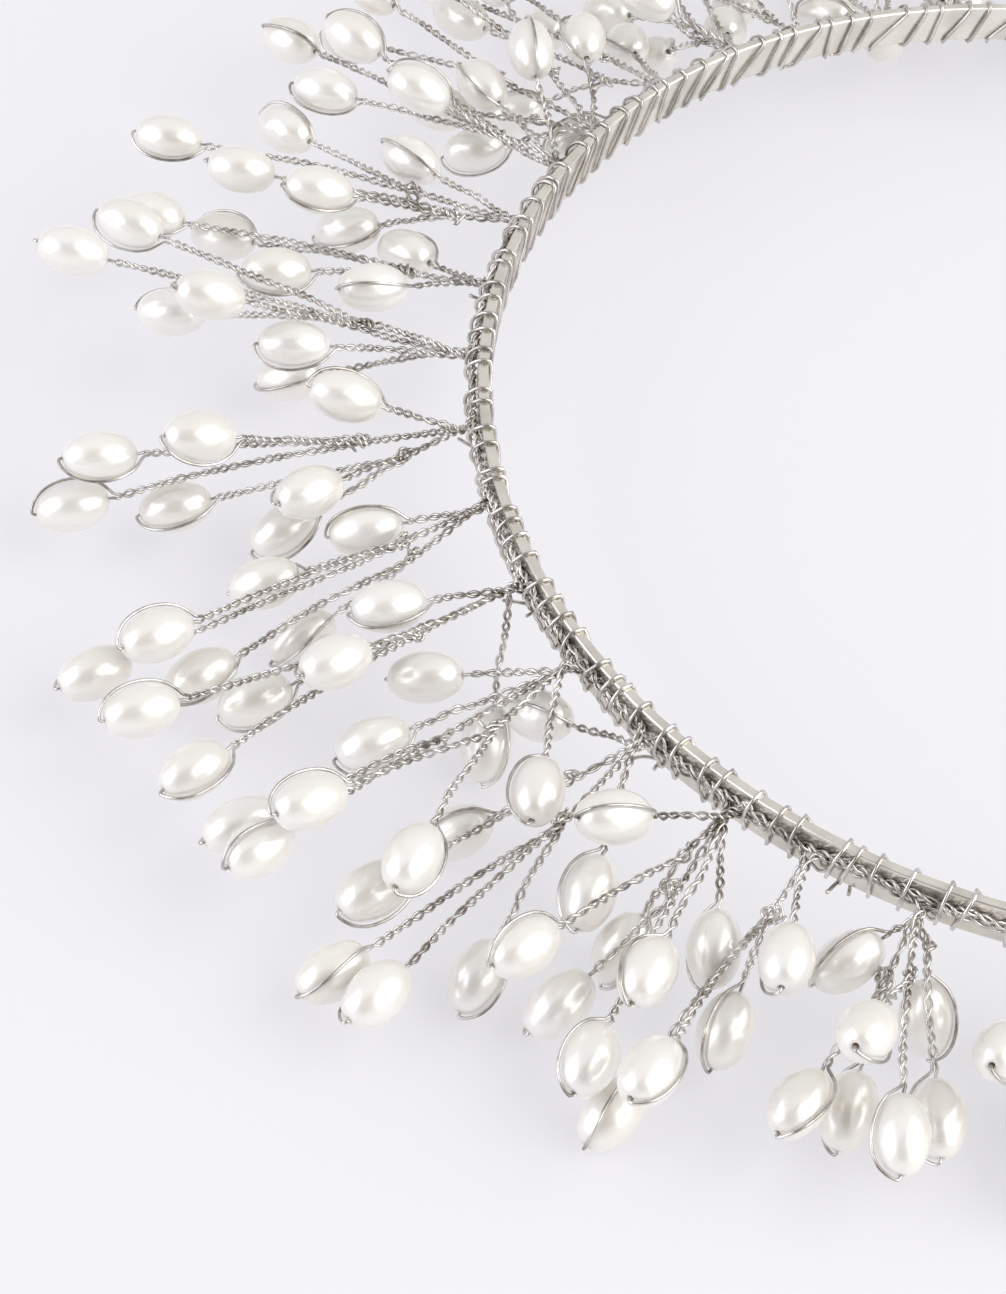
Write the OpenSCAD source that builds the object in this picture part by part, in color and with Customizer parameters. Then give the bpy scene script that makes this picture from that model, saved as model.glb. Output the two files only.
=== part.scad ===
// Pearl crown headband: a flat C-shaped band with twisted-wire sprays of drilled pearls on its outer face.
// Millimetres. +Z up, +Y across the head, -X towards the top of the head, the legs open towards +X.
// Each spray starts between two turns of the binding wire and is laid out from there in three
// directions: out from the band, along the band away from its middle, and up.

/* [Band] */
// thickness of the flat band
band_t = 1; // [0.8:0.1:1.6]
// width of the flat band, upright here
band_w = 4.2; // [3.6:0.1:6]
// rounding of the band's four long edges
band_edge = 0.25; // [0.1:0.05:0.4]
// inner radius over the top of the head
crown_r = 66; // [62:1:75]
// angle of the top arc to each side of the middle
crown_half = 34; // [28:1:40]
// inner radius at the temples
temple_r = 59; // [54:1:62]
// inner radius of the legs
leg_r = 130; // [110:5:180]
// angle that each leg turns through
leg_turn = 28; // [24:1:34]
// corner cut of the leg tips
tip_cut = 1.2; // [0.6:0.1:1.8]
// height of the band's middle above the surface it lies on
band_rise = 12.32; // [11:0.02:16]
// centre of the top arc, towards the legs
arc_x = 27.24; // [20:0.02:35]
// centre of the top arc, across the head
arc_y = 0.67; // [-2:0.01:2]

/* [Garland and binding] */
// distance along the band from its middle to each end of the garland
garland_half = 109; // [100:1:130]
// outside diameter of one twisted pair of wires
pair_d = 0.72; // [0.6:0.02:0.9]
// diameter of a single wire
wire_d = 0.36; // [0.3:0.02:0.45]
// gap left between neighbouring pieces
fit = 0.1; // [0.1:0.01:0.2]
// distance along the band from one turn of the binding wire to the next
bind_pitch = 2.5; // [2.5:0.5:4]
// number of lengths the binding wire is cut into
bind_lengths = 11; // [9:1:13]
// turns of binding wire in each length
bind_turns = 8; // [6:1:10]
// sides of the meshed binding wire
bind_sides = 5; // [4:1:6]

/* [Pearls] */
// length of a pearl along its hole
pearl_l = 7; // [6:0.1:8]
// diameter of a pearl across its middle
pearl_d = 4.8; // [4:0.1:5.4]
// radius of the rounding at both ends of a pearl
end_r = 1.75; // [1.4:0.05:2]
// diameter of the hole through a pearl
hole_d = 0.8; // [0.6:0.05:1]

/* [Wire of the sprays] */
// outside diameter of the stems where they run in one bundle
bundle_d = 1; // [0.8:0.05:1.4]
// distance from the band's outer face to the start of a spray
root_out = 1.5; // [1.4:0.05:2]
// where a bundle splits, as a share of the reach of its nearest pearl
fork_share = 0.45; // [0.3:0.05:0.6]
// distance from a pearl's middle to each end of the loop of wire round it
loop_reach = 4; // [3.9:0.05:4.4]
// distance from a pearl's axis to the middle of that loop
loop_rise = 2.9; // [2.8:0.05:3.2]

/* [Hidden] */
// pearls of each kind of spray, one row a pearl: which bundle its stem leaves (0 is none), then its
// middle as millimetres out, along and up from the start, then the side its loop lies on in degrees
// (0 is level, 90 on top)
kind_rows = [
  // 0, at the ends of the garland
  [[0, 9, 2.5, 2, 60], [0, 7.5, 5, -4, 150], [1, 15, -2, 3, 330], [1, 17.75, 4.5, -7, 20],
   [1, 11.5, 2.5, -8.93, 120]],
  // 1
  [[0, 6.5, -4, -3, 100], [1, 19.5, 0.5, 6, 330], [1, 21, 5.5, -3, 160], [2, 6, 3.5, -7, 40],
   [2, 16, 7.5, -6, 200], [3, 21, -3, -4, 30], [3, 17, 0.5, -8, 220]],
  // 2
  [[0, 12, 4, 1, 230], [1, 15.5, 1.5, -7, 120], [1, 27.5, 0.5, 0, 20], [1, 26.5, -2.5, -9.5, 90]],
  // 3
  [[0, 10.5, -5.5, 3, 70], [0, 10, 6, -5, 220], [1, 18.5, 5, -1, 150], [2, 21.5, -1, -8, 230],
   [2, 26, 5.5, -5, 150], [3, 23.5, -4, -1, 120], [3, 13, -1, -8.5, 30]],
  // 4
  [[0, 3.5, -10, -4, 60], [0, 12.5, 7, -5, 160], [1, 15, -7, -9, 90], [1, 27, -4, -5, 340],
   [2, 34, -0.5, -7, 60], [2, 33.5, 4.5, -5, 220], [2, 23.5, 6, -9, 20]],
  // 5
  [[0, 11, -7.5, -4, 220], [0, 11, 11, 0, 160], [1, 18.5, -3.5, -5, 350], [2, 30, 5.5, 3, 150],
   [3, 33, -0.5, -5, 220], [3, 34, 4.5, -2, 100], [2, 24, 12.5, 0, 340]],
  // 6
  [[0, 12.5, -2, -1, 10], [0, 7, 9.5, -9, 40], [1, 20, 4.5, 1, 220], [2, 36.5, 1.5, -3, 140],
   [2, 25.5, 0, -7, 340], [2, 34, 8.5, -4, 10]],
  // 7
  [[0, 11.5, -1.5, -3, 100], [1, 21, 0, -7, 200], [1, 32.5, 9.5, -2, 140], [1, 38, 9.5, -6, 200],
   [2, 28.5, 9.5, -8, 10], [2, 18.5, 5.5, -9, 40]],
  // 8
  [[0, 12.5, -1, 3, 150], [1, 26, 4.5, 3, 330], [1, 35, 4, 0, 340], [1, 37.5, 4.5, -6, 140],
   [2, 28, 3.5, -7, 0], [2, 16, 7.5, -1, 200], [2, 18, 6.5, -7, 350]],
  // 9, at the middle of the band
  [[0, 17.5, 1.5, 0, 340], [0, 18, -2.5, -8, 20], [1, 25.5, 2.5, 6, 200], [1, 30, -4.5, -3, 160],
   [1, 39, -1.5, 6, 220], [1, 35, -11, 2, 330]],
  // 10
  [[0, 11, -5, 1, 130], [0, 10, 5.5, -3, 20], [1, 21, -3.5, -1, 200], [1, 28.5, 4.5, -5, 40],
   [1, 35.5, 3, -3, 180]],
  // 11
  [[0, 14, 4, 0, 120], [1, 19, -8, 3, 190], [1, 17, -4.5, -4, 180], [1, 27.5, -7.5, 2, 330],
   [2, 28.5, 6, -3, 70], [2, 37.5, -3, -1, 200]],
  // 12
  [[0, 10.5, 10, 4, 90], [0, 14, 6.5, 0, 140], [1, 16.5, -2.5, 4, 60], [1, 26.5, -4, 0, 200],
   [1, 27, 2, 3, 40], [1, 36, 4.5, -3, 120]]
];
// sprays from one end of the garland to the other: [turn of the binding wire each follows, its kind]
sprays = [
  [-43, 0], [-39, 0], [-36, 0], [-32, 1], [-28, 2], [-25, 3], [-21, 4], [-17, 5],
  [-13, 6], [-9, 7], [-5, 8], [-1, 9], [3, 10], [7, 11], [11, 12], [14, 5],
  [18, 4], [22, 3], [25, 2], [29, 1], [32, 0], [36, 0], [40, 0]
];

$fn = 48;
deg = 180 / PI;
garland_out = fit + pair_d / 2;
garland_z = fit + pair_d / 2;
sleeve_l = 1.2;
garland_sleeve = pair_d + 0.06;
bundle_sleeve = 1.15 * bundle_d;
tip_knot = 1.25 * wire_d;
crown_len = crown_r * crown_half / deg;
temple_turn = 90 - crown_half;
temple_len = temple_r * temple_turn / deg;
crown_c = [0, 0];
temple_c = (crown_r - temple_r) * [-cos(crown_half), sin(crown_half)];
leg_c = temple_c + [0, temple_r - leg_r];
garland_leg = (garland_half - crown_len - temple_len) / leg_r * deg;
// how much further than its neighbours the post across a seam between two arcs of the band reaches
seam = 0.01;
seams = [for (side = [-1, 1], s = [crown_len, crown_len + temple_len]) side * s];

// row columns of a pearl
ROW_BUNDLE = 0;
ROW_SIDE = 4;

// turn of the band away from its middle, in degrees, at a distance s along it
function turn_at(s) =
  s < crown_len ? s / crown_r * deg
  : s < crown_len + temple_len ? crown_half + (s - crown_len) / temple_r * deg
  : 90 + (s - crown_len - temple_len) / leg_r * deg;
function centre_at(s) = s < crown_len ? crown_c : s < crown_len + temple_len ? temple_c : leg_c;
function radius_at(s) = s < crown_len ? crown_r : s < crown_len + temple_len ? temple_r : leg_r;
function half(s) = s < 0 ? -1 : 1;
function flip(v, s) = [v[0], v[1] * half(s)];
// directions out from the band and along it, and a point of it
function out_dir(s) = flip([-cos(turn_at(abs(s))), sin(turn_at(abs(s)))], s);
function along_dir(s) = flip([sin(turn_at(abs(s))), cos(turn_at(abs(s)))], s);
function on_band(s) = flip(centre_at(abs(s)), s) + (radius_at(abs(s)) + band_t) * out_dir(s);
function flat(v, z) = [v[0] + arc_x, v[1] + arc_y, z];
function at_band(s, v) = flat(on_band(s) + v[0] * out_dir(s) + v[1] * along_dir(s), v[2] + band_rise);
function unit(v) = v / norm(v);
function mean(list) = len(list) == 0 ? [0, 0, 0] : [for (i = [0:len(list) - 1]) 1] * list / len(list);

// one spray: its rows, and in its own directions where a bundle forks and where a stem leaves
function rows_of(k) = kind_rows[sprays[k][1]];
function start_of(k) = (sprays[k][0] + 0.5) * bind_pitch;
function middle_of(row) = [row[1], row[2], row[3]];
function bundle_rows(k, b) = [for (row = rows_of(k)) if (row[ROW_BUNDLE] == b) middle_of(row)];
function fork_of(k, b) =
  let (ends = bundle_rows(k, b), towards = unit(mean(ends)))
  towards * fork_share * min([for (e = ends) norm(e)]);
function leaves_from(k, row) = row[ROW_BUNDLE] == 0 ? [root_out, 0, 0] : fork_of(k, row[ROW_BUNDLE]);
function in_frame(k, v) = at_band(start_of(k), v);
function in_frame_dir(k, v) = in_frame(k, v) - in_frame(k, [0, 0, 0]);
// direction of a pearl's hole, and square to it the direction of its loop's side, in the spray's
// own directions
function hole_dir(k, row) = unit(middle_of(row) - leaves_from(k, row));
function loop_dir(axis, angle) =
  let (level = unit(cross([0, 0, 1], axis)), over = cross(axis, level))
  cos(angle) * level + sin(angle) * over;

// turns x to the direction a and y to the direction b, at the point p
module pose(p, a, b) {
  c = cross(a, b);
  multmatrix([[a[0], b[0], c[0], p[0]], [a[1], b[1], c[1], p[1]], [a[2], b[2], c[2], p[2]]])
    children();
}

// round rod from p to q
module rod(p, q, d) {
  v = q - p;
  translate(p) rotate([0, acos(v[2] / norm(v)), atan2(v[1], v[0])]) cylinder(h = norm(v), d = d);
}

// short rod along v with its middle at p, over the place where other rods meet
module sleeve(p, v, d) {
  rod(p - sleeve_l / 2 * v, p + sleeve_l / 2 * v, d);
}

// a flat section carried along the arcs of the band, as far as a given angle down each leg;
// the section's x is the distance out from the band's inner face
module along_band(leg_angle) {
  translate([arc_x, arc_y, band_rise]) {
    rotate_extrude(start = 180 - crown_half, angle = 2 * crown_half) translate([crown_r, 0]) children();
    for (side = [0, 1]) mirror([0, side, 0]) {
      translate(temple_c)
        rotate_extrude(start = 90, angle = temple_turn) translate([temple_r, 0]) children();
      translate(leg_c)
        rotate_extrude(start = 90 - leg_angle, angle = leg_angle) translate([leg_r, 0]) children();
    }
  }
}

module rounded_section(t, w) {
  for (z = [-1, 1], x = [band_edge, t - band_edge])
    translate([x, z * (w / 2 - band_edge)]) circle(r = band_edge);
  translate([band_edge, -w / 2]) square([t - 2 * band_edge, w]);
  translate([0, band_edge - w / 2]) square([t, w - 2 * band_edge]);
}

// post across the seam between two arcs of the band
module band_post(s) {
  t = band_t + 2 * seam;
  translate(at_band(s, [-band_t / 2, 0, 0]))
    rotate_extrude() intersection() {
      translate([-t / 2, 0]) rounded_section(t, band_w + 2 * seam);
      translate([0, -band_w]) square([t, 2 * band_w]);
    }
}

module band() {
  tip_s = crown_len + temple_len + leg_turn / deg * leg_r;
  color([0.78, 0.77, 0.75])
    difference() {
      union() {
        along_band(leg_turn) rounded_section(band_t, band_w);
        for (s = seams) band_post(s);
      }
      for (side = [-1, 1], z = [-1, 1])
        translate(at_band(side * tip_s, [-band_t / 2, 0, z * band_w / 2]))
          rotate([0, 0, -side * leg_turn]) rotate([0, 45, 0])
            cube([sqrt(2) * tip_cut, 4 * band_t, sqrt(2) * tip_cut], center = true);
    }
}

// one of the two twisted strands laid side by side on the band's outer face
module garland(z_side) {
  z = z_side * garland_z;
  color([0.6, 0.59, 0.57]) {
    along_band(garland_leg) translate([band_t + garland_out, z]) circle(d = pair_d);
    for (s = seams)
      sleeve(at_band(s, [garland_out, 0, z]), [along_dir(s)[0], along_dir(s)[1], 0], garland_sleeve);
  }
}

// corners of one turn of the binding wire: [out from the band's outer face, up]
bind_gap = fit + wire_d / 2;
bind_top = band_w / 2 + bind_gap;
over_garland = pair_d + 2 * fit + wire_d / 2;
over_z = garland_z + pair_d / 2 + fit;
bind_corners = [
  [-band_t - bind_gap, bind_top], [-band_t - bind_gap, -bind_top], [bind_gap, -bind_top],
  [over_garland, -over_z], [over_garland, over_z], [bind_gap, bind_top]
];
corner_count = len(bind_corners);
first_turn = -floor(bind_lengths * bind_turns / 2);
// share of a turn from the top inner corner to the point where a turn is counted from
turn_share = 0.75;
function bind_point(i) =
  let (corner = bind_corners[i % corner_count], turn = (i + 1) / corner_count - turn_share)
  at_band((first_turn + turn) * bind_pitch, [corner[0], 0, corner[1]]);
// ring of points round the wire at its corner i, mitred between the two straight runs
function bind_ring(i) =
  let (
    p = bind_point(i), before = unit(p - bind_point(i - 1)), after = unit(bind_point(i + 1) - p),
    ahead = unit(before + after), side = unit(cross(cross(before, after), ahead)),
    mitre = 1 / sqrt((1 + before * after) / 2), level = cross(ahead, side)
  )
  [for (j = [0:bind_sides - 1])
    p + wire_d / 2 * (cos(j * 360 / bind_sides) * mitre * side + sin(j * 360 / bind_sides) * level)];

module binding_length(first, last) {
  n = bind_sides;
  rings = last - first;
  polyhedron(
    points = [for (i = [first:last]) each bind_ring(i)],
    faces = concat(
      [[for (j = [0:n - 1]) j]],
      [for (r = [0:rings - 1], j = [0:n - 1])
        each [[r * n + j, (r + 1) * n + j, (r + 1) * n + (j + 1) % n],
              [r * n + j, (r + 1) * n + (j + 1) % n, r * n + (j + 1) % n]]],
      [[for (j = [n - 1:-1:0]) rings * n + j]]
    )
  );
}

// the binding wire, wound round band and garland in several lengths
module binding_wire() {
  per_length = bind_turns * corner_count;
  color([0.7, 0.7, 0.69])
    for (length = [0:bind_lengths - 1])
      binding_length(length * per_length + corner_count, (length + 1) * per_length + corner_count - 1);
}

// half outline of a pearl: flat side arc running into a tighter arc at each end; the arcs touch at
// the height meet and are cut a little short of it, so that they overlap
module pearl_outline() {
  end_c = pearl_l / 2 - end_r;
  side_r = (end_c ^ 2 + (pearl_d / 2) ^ 2 - end_r ^ 2) / (pearl_d - 2 * end_r);
  meet = end_c * side_r / (side_r - end_r);
  side_half = meet - 2 * seam;
  intersection() {
    translate([pearl_d / 2 - side_r, 0]) circle(r = side_r);
    translate([0, -side_half]) square([pearl_d, 2 * side_half]);
  }
  for (side = [0, 1]) mirror([0, side]) intersection() {
    translate([0, end_c]) circle(r = end_r);
    translate([0, meet / 2]) square([pearl_d, pearl_l]);
  }
}

// one drilled pearl with its hole along x
module pearl() {
  rotate([0, 90, 0])
    difference() {
      rotate_extrude() pearl_outline();
      cylinder(h = 2 * pearl_l, d = hole_d, center = true);
    }
}

module pearls(k) {
  color([0.96, 0.94, 0.9])
    for (row = rows_of(k)) {
      axis = hole_dir(k, row);
      pose(
        in_frame(k, middle_of(row)), in_frame_dir(k, axis), in_frame_dir(k, loop_dir(axis, 90))
      ) pearl();
    }
}

// the wire through a pearl, out at its tip and back round one side
module loop_wire() {
  loop_r = (loop_reach ^ 2 + loop_rise ^ 2) / (2 * loop_rise);
  reach_angle = asin(loop_reach / loop_r);
  rod([-loop_reach, 0, 0], [loop_reach, 0, 0], wire_d);
  translate([loop_reach, 0, 0]) sphere(d = tip_knot);
  translate([0, loop_rise - loop_r, 0])
    rotate_extrude(start = 90 - reach_angle, angle = 2 * reach_angle)
      translate([loop_r, 0]) circle(d = wire_d);
}

module stems(k) {
  root = [root_out, 0, 0];
  color([0.74, 0.74, 0.73]) {
    sleeve(in_frame(k, root), in_frame_dir(k, [1, 0, 0]), bundle_sleeve);
    for (b = [1:max([for (row = rows_of(k)) row[ROW_BUNDLE]])]) {
      rod(in_frame(k, root), in_frame(k, fork_of(k, b)), bundle_d);
      sleeve(in_frame(k, fork_of(k, b)), in_frame_dir(k, unit(fork_of(k, b))), bundle_sleeve);
    }
    for (row = rows_of(k)) {
      axis = hole_dir(k, row);
      neck = middle_of(row) - (loop_reach - wire_d / 2) * axis;
      rod(in_frame(k, leaves_from(k, row)), in_frame(k, neck), pair_d);
      pose(
        in_frame(k, middle_of(row)), in_frame_dir(k, axis),
        in_frame_dir(k, loop_dir(axis, row[ROW_SIDE]))
      ) loop_wire();
    }
  }
}

band();
garland(1);  // garland_upper
garland(-1);  // garland_lower
binding_wire();
stems(0);  // spray_01_stems
stems(1);  // spray_02_stems
stems(2);  // spray_03_stems
stems(3);  // spray_04_stems
stems(4);  // spray_05_stems
stems(5);  // spray_06_stems
stems(6);  // spray_07_stems
stems(7);  // spray_08_stems
stems(8);  // spray_09_stems
stems(9);  // spray_10_stems
stems(10);  // spray_11_stems
stems(11);  // spray_12_stems
stems(12);  // spray_13_stems
stems(13);  // spray_14_stems
stems(14);  // spray_15_stems
stems(15);  // spray_16_stems
stems(16);  // spray_17_stems
stems(17);  // spray_18_stems
stems(18);  // spray_19_stems
stems(19);  // spray_20_stems
stems(20);  // spray_21_stems
stems(21);  // spray_22_stems
stems(22);  // spray_23_stems
pearls(0);  // spray_01_pearls
pearls(1);  // spray_02_pearls
pearls(2);  // spray_03_pearls
pearls(3);  // spray_04_pearls
pearls(4);  // spray_05_pearls
pearls(5);  // spray_06_pearls
pearls(6);  // spray_07_pearls
pearls(7);  // spray_08_pearls
pearls(8);  // spray_09_pearls
pearls(9);  // spray_10_pearls
pearls(10);  // spray_11_pearls
pearls(11);  // spray_12_pearls
pearls(12);  // spray_13_pearls
pearls(13);  // spray_14_pearls
pearls(14);  // spray_15_pearls
pearls(15);  // spray_16_pearls
pearls(16);  // spray_17_pearls
pearls(17);  // spray_18_pearls
pearls(18);  // spray_19_pearls
pearls(19);  // spray_20_pearls
pearls(20);  // spray_21_pearls
pearls(21);  // spray_22_pearls
pearls(22);  // spray_23_pearls
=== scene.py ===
"""Pearl crown headband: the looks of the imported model.

Lengths in the tables and helper functions are in millimetres, in the frame of the part; only
build_mesh turns them to metres.
"""

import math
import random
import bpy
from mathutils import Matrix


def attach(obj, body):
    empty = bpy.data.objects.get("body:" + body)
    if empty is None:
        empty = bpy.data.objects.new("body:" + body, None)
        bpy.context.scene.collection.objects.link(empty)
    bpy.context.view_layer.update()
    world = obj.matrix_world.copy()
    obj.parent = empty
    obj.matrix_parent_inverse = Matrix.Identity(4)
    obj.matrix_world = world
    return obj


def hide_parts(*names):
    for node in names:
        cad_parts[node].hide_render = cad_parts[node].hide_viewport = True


bl_info = {
    "name": "Pearl crown headband",
    "version": (1, 0, 0),
    "blender": (4, 5, 0),
    "location": "View3D > Sidebar > Pearl crown",
    "description": "Dresses a headband of twisted wire and pearls, and lights it in a plain studio",
    "category": "Object",
}

import bpy
import numpy as np
from mathutils import Matrix, Vector

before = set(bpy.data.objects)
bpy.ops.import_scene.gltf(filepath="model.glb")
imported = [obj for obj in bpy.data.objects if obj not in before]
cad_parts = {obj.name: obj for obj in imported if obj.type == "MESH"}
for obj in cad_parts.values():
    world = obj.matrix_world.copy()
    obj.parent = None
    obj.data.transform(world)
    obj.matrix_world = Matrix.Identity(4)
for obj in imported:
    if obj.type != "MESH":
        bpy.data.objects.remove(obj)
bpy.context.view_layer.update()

# sizes that the solids share
BAND_T = 1.0
BAND_W = 4.2
BAND_EDGE = 0.25
BAND_RISE = 12.32
TIP_CUT = 1.2
ARC_MIDDLE = (27.24, 0.67)
CROWN_R = 66.0
CROWN_HALF = 34.0
TEMPLE_R = 59.0
LEG_R = 130.0
LEG_TURN = 28.0
GARLAND_HALF = 109.0
GARLAND_OUT = 0.46
GARLAND_Z = 0.46
# height of the garland's middle up the band's girth, from its lower edge
GARLAND_HEIGHT = BAND_W / 2 + 0.65
BIND_PITCH = 2.5
BIND_LENGTHS = 11
BIND_TURNS = 8
ROOT_OUT = 1.5
FORK_SHARE = 0.45
# how far the stems of a bundle lie from its middle, and the turn in radians that they make about it
BUNDLE_SPREAD = 0.42
BUNDLE_TURN = 2.4
# turn in radians from one single stem to the next round the root of a spray
ROOT_TURN = 2.4
# distance between the rings of points along a stem, a loop and the binding wire
STEM_STEP = 0.22
LOOP_STEP = 0.2
BINDING_STEP = 0.5
# how far a loop of wire may lean round its pearl, in degrees
LOOP_LEAN = 16
# sizes of the pearls, as shares of the set one
PEARL_SIZES = (0.97, 0.994)
# length of a twist at the middle spray, as a share of the set one, and its growth from spray to spray
MIDDLE_TWIST = 0.72
TWIST_GROWTH = 0.035
# how many of the forks have a small ring of wire, and how many a cut end
EYELET_SHARE = 0.4
CUT_END_SHARE = 0.2

# Pearls of each kind of spray, a row a pearl: bundle that its stem leaves (0 is none), its middle
# out from the band, along it and up, and the side that its loop of wire lies on, in degrees.
KIND_ROWS = (
    ((0, 9, 2.5, 2, 60), (0, 7.5, 5, -4, 150), (1, 15, -2, 3, 330), (1, 17.75, 4.5, -7, 20),
     (1, 11.5, 2.5, -8.93, 120)),
    ((0, 6.5, -4, -3, 100), (1, 19.5, 0.5, 6, 330), (1, 21, 5.5, -3, 160), (2, 6, 3.5, -7, 40),
     (2, 16, 7.5, -6, 200), (3, 21, -3, -4, 30), (3, 17, 0.5, -8, 220)),
    ((0, 12, 4, 1, 230), (1, 15.5, 1.5, -7, 120), (1, 27.5, 0.5, 0, 20), (1, 26.5, -2.5, -9.5, 90)),
    ((0, 10.5, -5.5, 3, 70), (0, 10, 6, -5, 220), (1, 18.5, 5, -1, 150), (2, 21.5, -1, -8, 230),
     (2, 26, 5.5, -5, 150), (3, 23.5, -4, -1, 120), (3, 13, -1, -8.5, 30)),
    ((0, 3.5, -10, -4, 60), (0, 12.5, 7, -5, 160), (1, 15, -7, -9, 90), (1, 27, -4, -5, 340),
     (2, 34, -0.5, -7, 60), (2, 33.5, 4.5, -5, 220), (2, 23.5, 6, -9, 20)),
    ((0, 11, -7.5, -4, 220), (0, 11, 11, 0, 160), (1, 18.5, -3.5, -5, 350), (2, 30, 5.5, 3, 150),
     (3, 33, -0.5, -5, 220), (3, 34, 4.5, -2, 100), (2, 24, 12.5, 0, 340)),
    ((0, 12.5, -2, -1, 10), (0, 7, 9.5, -9, 40), (1, 20, 4.5, 1, 220), (2, 36.5, 1.5, -3, 140),
     (2, 25.5, 0, -7, 340), (2, 34, 8.5, -4, 10)),
    ((0, 11.5, -1.5, -3, 100), (1, 21, 0, -7, 200), (1, 32.5, 9.5, -2, 140), (1, 38, 9.5, -6, 200),
     (2, 28.5, 9.5, -8, 10), (2, 18.5, 5.5, -9, 40)),
    ((0, 12.5, -1, 3, 150), (1, 26, 4.5, 3, 330), (1, 35, 4, 0, 340), (1, 37.5, 4.5, -6, 140),
     (2, 28, 3.5, -7, 0), (2, 16, 7.5, -1, 200), (2, 18, 6.5, -7, 350)),
    ((0, 17.5, 1.5, 0, 340), (0, 18, -2.5, -8, 20), (1, 25.5, 2.5, 6, 200), (1, 30, -4.5, -3, 160),
     (1, 39, -1.5, 6, 220), (1, 35, -11, 2, 330)),
    ((0, 11, -5, 1, 130), (0, 10, 5.5, -3, 20), (1, 21, -3.5, -1, 200), (1, 28.5, 4.5, -5, 40),
     (1, 35.5, 3, -3, 180)),
    ((0, 14, 4, 0, 120), (1, 19, -8, 3, 190), (1, 17, -4.5, -4, 180), (1, 27.5, -7.5, 2, 330),
     (2, 28.5, 6, -3, 70), (2, 37.5, -3, -1, 200)),
    ((0, 10.5, 10, 4, 90), (0, 14, 6.5, 0, 140), (1, 16.5, -2.5, 4, 60), (1, 26.5, -4, 0, 200),
     (1, 27, 2, 3, 40), (1, 36, 4.5, -3, 120)),
)
# Sprays from one end of the garland to the other: turn of the binding wire each follows, kind.
SPRAYS = (
    (-43, 0), (-39, 0), (-36, 0), (-32, 1), (-28, 2), (-25, 3), (-21, 4), (-17, 5),
    (-13, 6), (-9, 7), (-5, 8), (-1, 9), (3, 10), (7, 11), (11, 12), (14, 5),
    (18, 4), (22, 3), (25, 2), (29, 1), (32, 0), (36, 0), (40, 0),
)

CROWN_LEN = math.radians(CROWN_HALF) * CROWN_R
TEMPLE_LEN = math.radians(90 - CROWN_HALF) * TEMPLE_R
TEMPLE_C = (
    (TEMPLE_R - CROWN_R) * math.cos(math.radians(CROWN_HALF)),
    (CROWN_R - TEMPLE_R) * math.sin(math.radians(CROWN_HALF)),
)
LEG_C = (TEMPLE_C[0], TEMPLE_C[1] + TEMPLE_R - LEG_R)
TIP_S = CROWN_LEN + TEMPLE_LEN + math.radians(LEG_TURN) * LEG_R


# places along the band
def band_arc(s):
    """Centre, radius and turn in radians of the arc that holds the distance s along the band."""
    if s < CROWN_LEN:
        return (0.0, 0.0), CROWN_R, s / CROWN_R
    if s < CROWN_LEN + TEMPLE_LEN:
        return TEMPLE_C, TEMPLE_R, math.radians(CROWN_HALF) + (s - CROWN_LEN) / TEMPLE_R
    return LEG_C, LEG_R, math.pi / 2 + (s - CROWN_LEN - TEMPLE_LEN) / LEG_R


def band_axes(s):
    """Point of the band's outer face at mid height, and the directions out, away from the middle and up."""
    half = -1.0 if s < 0 else 1.0
    centre, radius, turn = band_arc(abs(s))
    out = np.array((-math.cos(turn), half * math.sin(turn), 0.0))
    along = np.array((math.sin(turn), half * math.cos(turn), 0.0))
    point = np.array((centre[0] + ARC_MIDDLE[0], half * centre[1] + ARC_MIDDLE[1], BAND_RISE))
    return point + (radius + BAND_T) * out, out, along, np.array((0.0, 0.0, 1.0))


def at_band(s, out, up, along=0.0):
    """Point of the frame at a distance s along the band, out from its outer face and up from mid height."""
    point, out_dir, along_dir, up_dir = band_axes(s)
    return point + out * out_dir + along * along_dir + up * up_dir


def unit(v):
    """The direction of a vector."""
    return v / np.linalg.norm(v)


# wire and mesh making
def smooth_path(points, step):
    """Points at equal steps on the smooth curve through the given ones."""
    p = np.asarray(points, float)
    p = np.vstack((2 * p[0] - p[1], p, 2 * p[-1] - p[-2]))
    fine = []
    for a, b, c, d in zip(p, p[1:], p[2:], p[3:]):
        t = np.linspace(0, 1, max(3, int(np.linalg.norm(c - b) / step * 2)), endpoint=False)[:, None]
        fine.append(
            b + 0.5 * t * (c - a)
            + t * t * (a - 2.5 * b + 2 * c - 0.5 * d)
            + t ** 3 * (1.5 * b - 0.5 * a - 1.5 * c + 0.5 * d)
        )
    fine = np.vstack(fine + [p[-2:-1]])
    run = np.concatenate(([0.0], np.cumsum(np.linalg.norm(np.diff(fine, axis=0), axis=1))))
    at = np.linspace(0, run[-1], max(2, int(round(run[-1] / step)) + 1))
    return np.column_stack([np.interp(at, run, fine[:, i]) for i in range(3)])


def carried_frames(path, first_side):
    """Tangents, and two directions square to them carried along the path without twist."""
    tangents = np.gradient(path, axis=0)
    tangents /= np.linalg.norm(tangents, axis=1)[:, None]
    side = first_side - tangents[0] * (first_side @ tangents[0])
    sides = np.empty_like(path)
    for i, tangent in enumerate(tangents):
        side = side - tangent * (side @ tangent)
        side = side / math.sqrt(side @ side)
        sides[i] = side
    return tangents, sides, np.cross(tangents, sides)


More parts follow.
